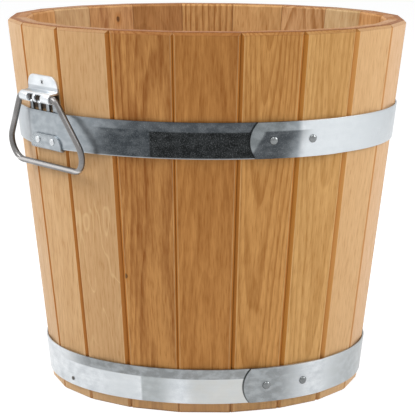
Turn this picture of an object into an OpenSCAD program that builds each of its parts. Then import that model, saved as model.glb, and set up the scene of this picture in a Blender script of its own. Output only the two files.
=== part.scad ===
// A coopered wooden tub: tapered oak staves held by two steel hoops, a boarded
// bottom let into a groove, and a drop handle on a folded sheet strap at each side.
// All sizes are in millimetres. The origin is the centre of the base, on the
// floor. +Z is up, and the two handles face -X and +X.

/* [Tub] */
// Height of the staves
tub_h = 367; // [300:1:440]
// Diameter over the stave corners at the rim
rim_d = 400; // [380:1:440]
// Diameter over the stave corners at the base
base_d = 314; // [298:1:350]
// Number of staves, even so that one faces each handle
stave_count = 20; // [16:2:22]
// Thickness of a stave
stave_t = 20; // [19:0.5:26]
// Depth of the V joint between two staves
joint_v = 2.5; // [1:0.1:3.5]
// Bevel on the outer edge of the rim
rim_bevel = 3; // [1:0.5:5]
// Bevel on the inner edge of the rim
rim_bevel_in = 2; // [1:0.5:5]
// Bevel on the outer edge of the foot
foot_bevel = 1.5; // [0.5:0.5:4]

/* [Bottom] */
// Height of the bottom's underside above the floor
bottom_z = 22; // [15:1:40]
// Thickness of the bottom boards
bottom_t = 18; // [14:0.5:22]
// Depth of the groove in the staves that holds the bottom
croze_depth = 7; // [5:0.5:9]
// Number of bottom boards
board_count = 5; // [3:1:7]
// Diameter of the drain hole
drain_d = 14; // [8:1:20]
// Diameter of the dowels between the boards
dowel_d = 8; // [6:1:10]
// Length of the dowels
dowel_l = 36; // [24:1:40]
// Distance between the two dowels of a joint
dowel_spacing = 120; // [80:1:140]

/* [Hoops] */
// Width of the hoop strip
hoop_w = 34.5; // [28:0.5:42]
// Thickness of the hoop strip
hoop_t = 1.5; // [1:0.1:2]
// Height of the lower hoop's bottom edge
lower_hoop_z = 10; // [4:0.5:20]
// Distance from the rim down to the upper hoop
upper_hoop_drop = 82.5; // [78:0.5:130]
// Length of the lap where the strip's ends are riveted
lap_l = 85; // [75:1:110]
// Radius of the rounded end of the strip
lap_end_r = 25; // [22:1:40]
// Angle of the upper hoop's visible end, from +X
upper_lap_angle = 246.2; // [225:0.1:260]
// Angle of the lower hoop's visible end, from +X
lower_lap_angle = 247.2; // [225:0.1:260]
// Distance of the first rivet from the strip's end
lap_rivet_inset = 22.5; // [18:0.5:26]
// Distance between the two rivets of a lap
lap_rivet_pitch = 40; // [30:1:45]
// Diameter of a lap rivet's head
lap_rivet_d = 8; // [6:0.5:9]
// Height of a lap rivet's head
lap_rivet_h = 2.4; // [1.5:0.1:3]
// Diameter of a nail's head
nail_head_d = 4; // [3:0.5:5]
// Length of a hoop nail
nail_l = 16; // [10:1:18]
// Height of a hoop nail above the hoop's bottom edge
nail_rise = 7; // [5:0.5:25]

/* [Handle strap] */
// Width of the strap
strap_w = 53; // [44:0.5:56]
// Thickness of the strap
strap_t = 2; // [1.5:0.1:2.5]
// Height of the pivot axis above the upper hoop, along the stave
pivot_rise = 14.4; // [14:0.1:20]
// Distance of the pivot axis from the stave
pivot_out = 8.6; // [8.2:0.1:11]
// Height of the strap's top edge above the pivot axis
tab_rise = 20; // [18:0.5:26]
// Radius of the tab's upper corners
tab_corner_r = 11; // [4:0.5:11]
// Height of the flap that is folded up over the hoop
flap_h = 12.5; // [11:0.5:20]
// Radius of the flap's upper corners
flap_corner_r = 10.5; // [4:0.5:12]
// Height of the flap's rivets above the hoop's bottom edge
strap_rivet_rise = 6.2; // [5.4:0.1:7]
// Distance between the flap's rivets
strap_rivet_spacing = 26; // [18:1:30]
// Diameter of the flap's rivet heads
strap_rivet_d = 7; // [6:0.5:8]
// Distance of the screw below the strap's top edge
screw_drop = 6.6; // [6:0.1:7.5]
// Diameter of the screw's head
screw_head_d = 8; // [6:0.5:9]
// Length of the screw
screw_l = 17; // [10:0.5:18]

/* [Drop handle] */
// Diameter of the wire
wire_d = 6; // [5:0.1:6.4]
// Distance from the pivot axis to the grip
bail_drop = 67.5; // [60:0.5:70]
// Overall width of the handle over the wire's centre line
bail_w = 128; // [120:1:150]
// Bend radius of the two lower corners
bail_corner_r = 17; // [10:0.5:22]
// Angle of the legs from square to the grip
leg_angle = 35.5; // [30:0.5:36]
// Bend radius of the wire at the pivot
bail_bend_r = 8; // [6:0.5:10]
// Length of each pivot pin inside the strap
pin_l = 15.5; // [10:0.5:18]
// Lean of the hanging handle towards the stave
bail_lean = 3.5; // [0:0.1:4]

/* [Hidden] */
$fn = 96;
// Running clearance of the wire in the rolled strap, and of a rivet or dowel in its hole
fit = 0.1;
// Overrun of a cut past the face that it breaks
over = 1;
rim_r = rim_d / 2;
base_r = base_d / 2;
half_angle = 180 / stave_count;
taper = (rim_r - base_r) / tub_h;
// Radius over the stave corners, and distance of the stave faces from the axis, at a height
function corner_r(z) = base_r + taper * z;
function face_r(z) = corner_r(z) * cos(half_angle);
tilt = atan(taper * cos(half_angle));
corner_tilt = atan(taper);
stave_depth = stave_t / cos(tilt);
groove_r = face_r(bottom_z) - stave_depth + croze_depth;
board_r = groove_r - fit;
board_w = 2 * board_r / board_count;
// The board nearest the middle, which has the drain hole
drain_board = ceil(board_count / 2);
drain_y = (drain_board - 0.5) * board_w - board_r;
// Places on a stave face: out is square to it, up is along it
function up_at(z, out) = (z + out * sin(tilt)) / cos(tilt);
upper_hoop_z = tub_h - upper_hoop_drop - hoop_w;
hoop_out = strap_t + fit;
flap_gap = hoop_t + 2 * fit;
fold_up = up_at(upper_hoop_z, hoop_out + hoop_t / 2) - fit;
hoop_top_up = up_at(upper_hoop_z + hoop_w, hoop_out + hoop_t / 2);
pivot_up = hoop_top_up + pivot_rise;
tab_up = pivot_up + tab_rise;
strap_rivet_up = fold_up + strap_rivet_rise;
screw_up = tab_up - screw_drop;
// The roll of the strap round the wire
roll_in = wire_d / 2 + fit;
roll_out = roll_in + strap_t;
bend_share = 0.75;
bend_r = bend_share * strap_t;
bend_rise = roll_out + bend_r;
run_l = pivot_out - strap_t - bend_r;
slot_up = hoop_top_up - strap_t;
// Places across the strap, as shares of its width: tongues come over the wire
// from the tab, fingers come up from the plate
tongue_shares = [[-0.5, -0.235], [-0.035, 0.03], [0.235, 0.5]];
finger_shares = [[-0.5, -0.41], [-0.215, -0.14], [0.055, 0.15], [0.28, 0.5]];
// Angles from straight out at which the crest, the tongues and the fingers end
crest_end = 50;
tongue_ends = [-80, -60, -80];
finger_end = -55;
// The wire of the drop handle: centres of its lower corners and of its bends at
// the pivot, from the middle of the pivot axis
corner_x = bail_w / 2 - bail_corner_r;
corner_y = bail_drop - bail_corner_r;
leg_foot_x = corner_x - corner_y * tan(leg_angle) + bail_corner_r / cos(leg_angle);
bend_x = leg_foot_x - bail_bend_r * tan((90 - leg_angle) / 2);
collar_share = 0.01;
collar_t = collar_share * wire_d;
collar_l = 8 * collar_t;
leg_l = (corner_x - bend_x) * sin(leg_angle) + (corner_y - bail_bend_r) * cos(leg_angle);
// Rivets, screws and nails: shank, tail and dimple as shares of the head's diameter,
// flat heads and the countersink's start as shares of the sheet's thickness
shank_share = 0.6;
tail_share = 0.8;
dimple_share = 0.35;
flat_head_share = 0.45;
sink_share = 0.2;
lap_shank_d = shank_share * lap_rivet_d;
lap_tail_h = shank_share * hoop_t;
strap_shank_d = shank_share * strap_rivet_d;
strap_head_h = flat_head_share * strap_t;
dimple_d = dimple_share * strap_rivet_d;
screw_shank_d = screw_head_d / 2;
sink_from = sink_share * strap_t;
nail_shank_d = nail_head_d / 2;
nail_head_share = 0.3;
nail_head_h = nail_head_share * nail_head_d;
// Place of the hoop nails on the stave face, and of the hoop's outer side there
nail_up = up_at(lower_hoop_z + nail_rise, 0);
nail_base = (corner_r(lower_hoop_z + nail_rise) - face_r(lower_hoop_z + nail_rise)) * cos(tilt) + hoop_t;
// Length and width of the screw's cross slot as shares of its head's diameter
cross_l_share = 0.55;
cross_w_share = 0.15;
// Longer than the layers that a rivet joins
through = 4 * strap_t;
whole_width = [-0.5, 0.5];
// Staves that carry a hoop nail, counted from the one at +X
nail_staves = [1 + floor(stave_count / 2), 1];
// Shares of the strip's thickness: how deep a flat stretch ends inside the ring, and
// how deep the lap's layer starts in it
skin = 0.3;
lap_root = 0.5;

oak_light = [0.80, 0.62, 0.42];
oak_dark = [0.68, 0.46, 0.26];
zinc = [0.74, 0.76, 0.77];
wire_steel = [0.42, 0.41, 0.40];

function two_digits(i) = str(i < 10 ? "0" : "", i);
function stave_name(i) = str("stave_", two_digits(i));
function board_name(i) = str("bottom_board_", i);
function stave_angle(i) = (i - 1) * 2 * half_angle;
sides = ["left", "right"];
function side_angle(side) = side == "left" ? 180 : 0;

// Frame on the stave face at an angle: +X is out of the face, +Y along it to
// the side, +Z up along it
module on_face(angle) {
    rotate([0, 0, angle]) translate([face_r(0), 0, 0]) rotate([0, tilt, 0]) children();
}

// Cylinder that points out of the stave face, from one depth to another
module peg(out_0, out_1, d, d_end = undef) {
    translate([out_0, 0, 0]) rotate([0, 90, 0])
        cylinder(h = out_1 - out_0, d1 = d, d2 = is_undef(d_end) ? d : d_end);
}

// The part of space within an angle on each side of +X
module wedge(half, height) {
    reach = 2 * rim_r;
    linear_extrude(height)
        polygon([[0, 0], [reach * cos(half), -reach * sin(half)], [reach * cos(half), reach * sin(half)]]);
}

module stave_blank() {
    intersection() {
        rotate([90, 0, 0]) translate([0, 0, -rim_r]) linear_extrude(rim_d)
            polygon([
                [face_r(0) - stave_depth, 0],
                [face_r(0) - foot_bevel, 0],
                [face_r(foot_bevel), foot_bevel],
                [face_r(tub_h - rim_bevel), tub_h - rim_bevel],
                [face_r(tub_h) - rim_bevel, tub_h],
                [face_r(tub_h) - stave_depth + rim_bevel_in, tub_h],
                [face_r(tub_h - rim_bevel_in) - stave_depth, tub_h - rim_bevel_in]]);
        wedge(half_angle, tub_h);
    }
}

module stave(i) {
    facing = stave_angle(i) % 180 == 0;
    nailed = len([for (n = nail_staves) if (n == i) n]) > 0;
    corner_l = norm([tub_h, rim_r - base_r]);
    color(i % 3 == 0 ? oak_dark : oak_light)
        rotate([0, 0, stave_angle(i)])
            difference() {
                stave_blank();
                // V joints along both outer corners
                for (side = [-1, 1])
                    rotate([0, 0, side * half_angle]) translate([base_r, 0, 0]) rotate([0, corner_tilt, 0])
                        translate([0, 0, -over]) linear_extrude(corner_l + 2 * over)
                            rotate(45) square(joint_v * sqrt(2), center = true);
                // Groove for the bottom
                translate([0, 0, bottom_z]) cylinder(h = bottom_t + fit, r = groove_r);
                if (facing)
                    on_face(0) {
                        translate([0, 0, screw_up]) peg(-screw_l - fit, over, screw_shank_d + 2 * fit);
                        for (side = [-1, 1])
                            translate([0, side * strap_rivet_spacing / 2, strap_rivet_up])
                                peg(-strap_head_h - fit, over, strap_rivet_d + 2 * fit);
                    }
                if (nailed)
                    on_face(0) translate([0, 0, nail_up])
                        peg(nail_base - nail_l - fit, over, nail_shank_d + 2 * fit);
            }
}

module bottom_board(i) {
    color(oak_dark)
        difference() {
            translate([0, 0, bottom_z])
                intersection() {
                    cylinder(h = bottom_t, r = board_r);
                    translate([-board_r, (i - 1) * board_w - board_r, 0])
                        cube([2 * board_r, board_w, bottom_t]);
                }
            for (j = [1:board_count - 1]) dowel_pair(j, fit);
            if (i == drain_board)
                translate([0, drain_y, bottom_z - over]) cylinder(h = bottom_t + 2 * over, d = drain_d);
        }
}

// The two dowels of one board joint, or with a play their holes
module dowel_pair(j, play) {
    length = dowel_l + 2 * play;
    for (side = [-1, 1])
        translate([side * dowel_spacing / 2, j * board_w - board_r, bottom_z + bottom_t / 2])
            rotate([90, 0, 0]) translate([0, 0, -length / 2]) cylinder(h = length, d = dowel_d + 2 * play);
}

module bottom_dowels() {
    color(oak_light) for (j = [1:board_count - 1]) dowel_pair(j, 0);
}

// Section of a hoop strip whose inner side follows the stave corners, moved out by some distance
module strip_section(z, out, thick) {
    polygon([
        [corner_r(z) + out, z],
        [corner_r(z) + out + thick, z],
        [corner_r(z + hoop_w) + out + thick, z + hoop_w],
        [corner_r(z + hoop_w) + out, z + hoop_w]]);
}

function lap_angle(z) = z == upper_hoop_z ? upper_lap_angle : lower_lap_angle;

// Angle that a length takes on a hoop at a height
function hoop_angle(z, length) = length / corner_r(z + hoop_w / 2) * 180 / PI;

// Outer end of the strip: a layer over the hoop with a rounded end, which goes
// straight back to the hoop's circle past the hidden inner end
module lap(z) {
    mid_z = z + hoop_w / 2;
    mid_r = corner_r(mid_z);
    round_to = lap_angle(z) + hoop_angle(z, lap_end_r);
    lap_end = lap_angle(z) + hoop_angle(z, lap_l);
    intersection() {
        rotate_extrude() strip_section(z, lap_root * hoop_t, (2 - lap_root) * hoop_t);
        union() {
            rotate([0, 0, (round_to + lap_end) / 2]) translate([0, 0, z - over])
                wedge((lap_end - round_to) / 2, hoop_w + 2 * over);
            rotate([0, 0, round_to]) translate([mid_r - lap_end_r, 0, mid_z]) rotate([0, 90, 0])
                cylinder(h = 2 * lap_end_r, r = lap_end_r);
        }
    }
    // The tangent from the layer's outer side to the hoop's
    fall = acos((mid_r + hoop_t) / (mid_r + 2 * hoop_t));
    function at(share, angle) = [
        ((mid_r + share * hoop_t) * cos(angle) - mid_r) * cos(corner_tilt),
        (mid_r + share * hoop_t) * sin(angle)];
    intersection() {
        rotate([0, 0, lap_end]) translate([corner_r(0), 0, 0]) rotate([0, corner_tilt, 0])
            linear_extrude(2 * (z + hoop_w))
                polygon([
                    at(2 - skin, -skin * fall),
                    at(1 - skin, (1 + skin) * fall),
                    at(skin, (1 + skin) * fall),
                    at(lap_root, -skin * fall)]);
        translate([0, 0, z]) cylinder(h = hoop_w, r = rim_d);
    }
}

// Bulge of the hoop over a handle strap: flat over the strap, with a flank on
// each side that runs down to the hoop's circle
module saddle(z) {
    mid_z = z + hoop_w / 2;
    ring_r = corner_r(mid_z) + hoop_t;
    flat_out = (hoop_out + hoop_t) / cos(tilt);
    flat = strap_w / 2 + hoop_t;
    far = face_r(mid_z) + flat_out;
    end = atan(flat / far) + acos(ring_r / norm([flat, far]));
    tip = end + hoop_angle(z, 2 * hoop_t);
    inner = flat - hoop_t * tan(end / 2);
    function out_of(r, angle) = (r * cos(angle) - face_r(mid_z)) * cos(tilt);
    half_points = [
        [hoop_out + hoop_t, flat],
        [out_of(ring_r - skin * hoop_t, tip), (ring_r - skin * hoop_t) * sin(tip)],
        [out_of(ring_r - (1 - skin) * hoop_t, tip), (ring_r - (1 - skin) * hoop_t) * sin(tip)],
        [hoop_out, inner]];
    intersection() {
        on_face(0) linear_extrude(2 * (z + hoop_w))
            polygon(concat(
                half_points,
                [for (i = [3:-1:0]) [half_points[i][0], -half_points[i][1]]]));
        translate([0, 0, z]) cylinder(h = hoop_w, r = rim_d);
    }
}

// Half angle of the stretch of hoop that a saddle takes the place of
function saddle_cut(z) = asin((strap_w / 2 + 2 * hoop_t) / corner_r(z));

module hoop(z, straps) {
    color(zinc)
        difference() {
            union() {
                difference() {
                    rotate_extrude() strip_section(z, 0, hoop_t);
                    if (straps)
                        for (s = sides)
                            rotate([0, 0, side_angle(s)]) translate([0, 0, z - over])
                                wedge(saddle_cut(z), hoop_w + 2 * over);
                }
                lap(z);
                if (straps)
                    for (s = sides) rotate([0, 0, side_angle(s)]) saddle(z);
            }
            at_lap_rivets(z) peg(-lap_tail_h, through, lap_shank_d + 2 * fit);
            if (straps)
                for (s = sides)
                    on_face(side_angle(s)) at_strap_rivets() peg(0, through, strap_shank_d + 2 * fit);
            else
                for (n = nail_staves)
                    on_face(stave_angle(n)) translate([0, 0, nail_up])
                        peg(0, 2 * nail_base, nail_shank_d + 2 * fit);
        }
}

// Places children at the two rivets of a lap, with +X square to the strip and
// zero at its inner side
module at_lap_rivets(z) {
    mid_z = z + hoop_w / 2;
    for (i = [0, 1])
        rotate([0, 0, lap_angle(z) + hoop_angle(z, lap_rivet_inset + i * lap_rivet_pitch)])
            translate([corner_r(mid_z), 0, mid_z]) rotate([0, corner_tilt, 0]) children();
}

module dome(d, h) {
    r = (d * d / 4 + h * h) / (2 * h);
    rotate([0, 90, 0])
        rotate_extrude()
            intersection() {
                translate([0, h - r]) circle(r = r);
                square([d, 2 * h]);
            }
}

module hoop_rivets(z) {
    color(zinc)
        at_lap_rivets(z) {
            translate([2 * hoop_t + fit, 0, 0]) dome(lap_rivet_d, lap_rivet_h);
            peg(-lap_tail_h / 2, 2 * hoop_t + lap_rivet_h / 2, lap_shank_d);
            peg(-lap_tail_h, -fit, tail_share * lap_rivet_d);
        }
}

module hoop_nails() {
    color(zinc)
        for (n = nail_staves)
            on_face(stave_angle(n)) translate([0, 0, nail_up]) {
                translate([nail_base + fit, 0, 0]) dome(nail_head_d, nail_head_h);
                peg(nail_base - nail_l, nail_base + nail_head_h / 2, nail_shank_d);
            }
}

// Sheet of the strap's thickness, bent round an axis along the pivot: the
// first angle is from straight out, towards up
module sheet_arc(out, up, r, angle, sweep, from, to) {
    translate([out, 0, up]) rotate([90, 0, 0]) translate([0, 0, -to]) rotate([0, 0, angle])
        rotate_extrude(angle = sweep) translate([r, 0]) square([strap_t, to - from]);
}

// Plate with rounded upper corners, from the strap's middle line up
module corner_plate(height, r) {
    intersection() {
        union() {
            translate([0, -strap_w / 2, -over]) cube([strap_t, strap_w, height - r + over]);
            translate([0, r - strap_w / 2, -over]) cube([strap_t, strap_w - 2 * r, height + over]);
            for (side = [-1, 1])
                translate([0, side * (strap_w / 2 - r), height - r]) peg(0, strap_t, 2 * r);
        }
        translate([-over, -strap_w, 0]) cube([strap_t + 2 * over, 2 * strap_w, 2 * height]);
    }
}

// The places below are in the frame of the pivot axis. Crest over the whole width
// of the tab: the bend from the tab and the run out to the wire
module crest() {
    half = strap_w / 2;
    sheet_arc(-run_l, bend_rise, bend_r, 180, 90, -half, half);
    translate([-run_l, -half, roll_in]) cube([run_l, strap_w, strap_t]);
}

// One finger up from the plate and out under the wire
module finger(shares) {
    from = shares[0] * strap_w;
    to = shares[1] * strap_w;
    foot = slot_up - strap_t - pivot_up;
    translate([-pivot_out, from, foot]) cube([strap_t, to - from, -bend_rise - foot]);
    sheet_arc(-run_l, -bend_rise, bend_r, 90, 90, from, to);
    translate([-run_l, from, -roll_out]) cube([run_l, to - from, strap_t]);
}

// Part of space between two angles from straight out, over a part of the strap's width
module roll_slice(shares, start, end) {
    steps = 4;
    rotate([90, 0, 0]) translate([0, 0, -shares[1] * strap_w])
        linear_extrude((shares[1] - shares[0]) * strap_w)
            polygon(concat([[0, 0]], [for (i = [0:steps])
                2 * roll_out * [cos(start + i * (end - start) / steps), sin(start + i * (end - start) / steps)]]));
}

// The sheet rolled round the wire
module roll() {
    intersection() {
        rotate([90, 0, 0]) translate([0, 0, -strap_w]) rotate_extrude()
            translate([roll_in, 0]) square([strap_t, 2 * strap_w]);
        union() {
            roll_slice(whole_width, crest_end, 90);
            for (i = [0:len(tongue_ends) - 1]) roll_slice(tongue_shares[i], tongue_ends[i], 90);
            for (s = finger_shares) roll_slice(s, -90, finger_end);
        }
    }
}

module handle_strap(side) {
    half = strap_w / 2;
    color(zinc)
        on_face(side_angle(side))
            difference() {
                union() {
                    // Tab against the stave, and what goes round the wire
                    translate([pivot_out, 0, pivot_up]) {
                        translate([-pivot_out, 0, bend_rise])
                            corner_plate(tab_rise - bend_rise, tab_corner_r);
                        crest();
                        roll();
                        for (s = finger_shares) finger(s);
                    }
                    // Plate behind the hoop, the fold round its lower edge and the flap
                    translate([0, 0, fold_up]) {
                        translate([0, -half, 0]) cube([strap_t, strap_w, slot_up - fold_up]);
                        sheet_arc(strap_t + flap_gap / 2, 0, flap_gap / 2, 180, 180, -half, half);
                        translate([strap_t + flap_gap, 0, 0]) corner_plate(flap_h, flap_corner_r);
                    }
                }
                at_strap_rivets() peg(-over, through, strap_shank_d + 2 * fit);
                at_screw() {
                    peg(-over, strap_t, screw_shank_d + 2 * fit);
                    peg(sink_from, strap_t + fit, screw_shank_d + 2 * fit, screw_head_d + 4 * fit);
                }
            }
}

module at_strap_rivets() {
    for (side = [-1, 1])
        translate([0, side * strap_rivet_spacing / 2, strap_rivet_up]) children();
}

module at_screw() {
    translate([0, 0, screw_up]) children();
}

module strap_rivets(side) {
    face = 2 * strap_t + flap_gap + fit;
    color(zinc)
        on_face(side_angle(side)) at_strap_rivets()
            difference() {
                union() {
                    peg(-strap_head_h, -fit, strap_rivet_d);
                    peg(-strap_head_h, face, strap_shank_d);
                    peg(face, face + strap_head_h, strap_rivet_d, tail_share * strap_rivet_d);
                }
                peg(face, face + strap_head_h + over, dimple_d);
            }
}

module strap_screw(side) {
    tip = screw_shank_d;
    slot_l = cross_l_share * screw_head_d;
    slot_w = cross_w_share * screw_head_d;
    color(zinc)
        on_face(side_angle(side)) at_screw()
            difference() {
                union() {
                    peg(sink_from, strap_t, screw_shank_d, screw_head_d);
                    peg(tip - screw_l, sink_from, screw_shank_d);
                    peg(-screw_l, tip - screw_l, fit, screw_shank_d);
                }
                for (turn = [0, 90])
                    rotate([45 + turn, 0, 0]) translate([strap_t / 2, -slot_l / 2, -slot_w / 2])
                        cube([strap_t, slot_l, slot_w]);
            }
}

// Hair-thin collar along +Z that closes the joint between a bend and a straight
module collar() {
    cylinder(h = collar_l, d = wire_d + 2 * collar_t, center = true);
}

// Half of the wire without the grip, in the plane of its bends: +X along the
// pivot axis, +Y up
module half_bail() {
    translate([corner_x, -corner_y, 0]) {
        translate([0, -bail_corner_r, 0]) rotate([0, 90, 0]) collar();
        rotate([0, 0, -90]) rotate_extrude(angle = 90 + leg_angle)
            translate([bail_corner_r, 0]) circle(d = wire_d);
        rotate([0, 0, leg_angle]) {
            translate([bail_corner_r, 0, 0]) rotate([-90, 0, 0]) {
                collar();
                cylinder(h = leg_l, d = wire_d);
                translate([0, 0, leg_l]) collar();
            }
            translate([bail_corner_r - bail_bend_r, leg_l, 0])
                rotate_extrude(angle = 90 - leg_angle) translate([bail_bend_r, 0]) circle(d = wire_d);
        }
    }
    translate([bend_x, 0, 0]) rotate([0, -90, 0]) {
        collar();
        cylinder(h = bend_x - strap_w / 2 + pin_l, d = wire_d);
    }
}

module bail(side) {
    color(wire_steel)
        on_face(side_angle(side))
            translate([pivot_out, 0, pivot_up]) rotate([0, bail_lean, 0]) rotate([90, 0, 90])
                union() {
                    half_bail();
                    mirror([1, 0, 0]) half_bail();
                    translate([-corner_x, -bail_drop, 0]) rotate([0, 90, 0])
                        cylinder(h = 2 * corner_x, d = wire_d);
                }
}

for (i = [1:stave_count])
    stave(i);
for (i = [1:board_count])
    bottom_board(i);
bottom_dowels();
hoop(upper_hoop_z, true);  // upper_hoop
hoop(lower_hoop_z, false);  // lower_hoop
hoop_rivets(upper_hoop_z);  // upper_hoop_rivets
hoop_rivets(lower_hoop_z);  // lower_hoop_rivets
hoop_nails();
for (s = sides) {
    handle_strap(s);
    strap_rivets(s);
    strap_screw(s);
    bail(s);
}
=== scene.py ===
"""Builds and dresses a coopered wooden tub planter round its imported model.

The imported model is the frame. Each sub-assembly is a class that models its own pieces
with operators, in millimetres and in the tub's own frame, and each finish is a frozen
dataclass that makes one procedural material.
"""

from __future__ import annotations

import logging
import math
from collections.abc import Callable
from dataclasses import dataclass, replace
from enum import Enum
from typing import Any

import bmesh
import bpy
from mathutils import Matrix, Vector


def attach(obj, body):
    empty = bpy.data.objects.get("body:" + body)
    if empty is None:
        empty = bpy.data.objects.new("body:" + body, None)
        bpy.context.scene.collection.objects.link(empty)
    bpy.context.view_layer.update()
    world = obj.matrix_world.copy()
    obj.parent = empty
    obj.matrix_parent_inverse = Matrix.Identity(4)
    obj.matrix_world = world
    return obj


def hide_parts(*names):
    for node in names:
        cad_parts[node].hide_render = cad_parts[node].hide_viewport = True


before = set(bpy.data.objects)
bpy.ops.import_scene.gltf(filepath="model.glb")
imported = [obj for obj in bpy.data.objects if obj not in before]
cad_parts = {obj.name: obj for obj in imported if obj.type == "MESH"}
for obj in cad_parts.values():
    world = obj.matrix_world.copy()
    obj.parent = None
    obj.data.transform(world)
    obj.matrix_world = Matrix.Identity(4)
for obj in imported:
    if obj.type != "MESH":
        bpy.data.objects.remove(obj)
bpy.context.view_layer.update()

log = logging.getLogger("tub")

Value = "Wire | float | int"
Laid = "tuple[Wire, Coat]"
Point = tuple[float, float, float]
Pair = tuple[float, float]

MM = 0.001
PICTURE_SIDE = 415
BODY = "tub"
FULL_TURN = 360.0
# The tub's two handles and their angles from +X
SIDES = (("left", 180.0), ("right", 0.0))
# Vertices this near to each other, in millimetres, become one
MERGE_GAP = 0.002
# Places this near to each other, in millimetres, and directions of this cosine are the same
NEAR = 0.01
SAME_WAY = 0.9999999
# Angles in degrees: of faces that are merged, of edges that are eased, of metal left smooth
FLAT_ANGLE = 0.5
SHARP_ANGLE = 35.0
SMOOTH_ANGLE = 40.0


@dataclass(frozen=True)
class Form:
    """The tub's own sizes in millimetres and degrees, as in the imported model."""

    height: float = 367.0
    base_r: float = 157.0
    rim_r: float = 200.0
    staves: int = 20
    half_angle: float = 9.0
    stave_t: float = 20.0
    bottom_z: float = 22.0
    bottom_t: float = 18.0
    croze: float = 7.0
    hoop_w: float = 34.5
    hoop_t: float = 1.5
    lower_z: float = 10.0
    upper_z: float = 250.0
    lap_l: float = 85.0
    lap_end_r: float = 25.0
    rivet_inset: float = 22.5
    rivet_pitch: float = 40.0
    strap_w: float = 53.0
    strap_t: float = 2.0
    fit: float = 0.1
    pivot_rise: float = 14.4
    pivot_out: float = 8.6
    rivet_spacing: float = 26.0
    rivet_rise: float = 6.2
    wire_drop: float = 67.5
    wire_lean: float = 3.5

    @property
    def slope(self) -> float:
        """Growth of the corner radius for each millimetre of height."""
        return (self.rim_r - self.base_r) / self.height

    @property
    def half(self) -> float:
        """Half of a stave's angle about the axis, in radians."""
        return math.radians(self.half_angle)

    @property
    def tilt(self) -> float:
        """Lean of the stave faces, in radians."""
        return math.atan(self.slope * math.cos(self.half))

    @property
    def corner_tilt(self) -> float:
        """Lean of the stave corners, in radians."""
        return math.atan(self.slope)

    @property
    def stave_depth(self) -> float:
        """Level thickness of a stave."""
        return self.stave_t / math.cos(self.tilt)

    @property
    def hoop_out(self) -> float:
        """Distance of the upper hoop's inner side from the stave at a strap."""
        return self.strap_t + self.fit

    @property
    def fold_up(self) -> float:
        """Height along the stave at which the strap folds round the hoop."""
        return self.up_at(self.upper_z, self.hoop_out + self.hoop_t / 2) - self.fit

    @property
    def pivot_up(self) -> float:
        """Height along the stave of the pivot axis."""
        hoop_top = self.up_at(self.upper_z + self.hoop_w, self.hoop_out + self.hoop_t / 2)
        return hoop_top + self.pivot_rise

    def corner_r(self, z: float) -> float:
        """Radius over the stave corners at a height."""
        return self.base_r + self.slope * z

    def face_r(self, z: float) -> float:
        """Distance of the stave faces from the axis at a height."""
        return self.corner_r(z) * math.cos(self.half)

    def up_at(self, z: float, out: float) -> float:
        """Height along the stave face of a place at a height and a distance off it."""
        return (z + out * math.sin(self.tilt)) / math.cos(self.tilt)

    def on_face(self, angle: float) -> Matrix:
        """Frame on the stave face at an angle: X out of it, Y along it, Z up it."""
        foot = Matrix.Translation((self.face_r(0), 0, 0)) @ Matrix.Rotation(self.tilt, 4, "Y")
        return Matrix.Rotation(math.radians(angle), 4, "Z") @ foot

    def hoop_turn(self, z: float, length: float) -> float:
        """Angle in degrees that a length takes on the hoop whose lower edge is at z."""
        return math.degrees(length / self.corner_r(z + self.hoop_w / 2))


FORM = Form()


def metres(place: Point) -> Point:
    """A place or a size in metres."""
    return tuple(c * MM for c in place)


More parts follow.
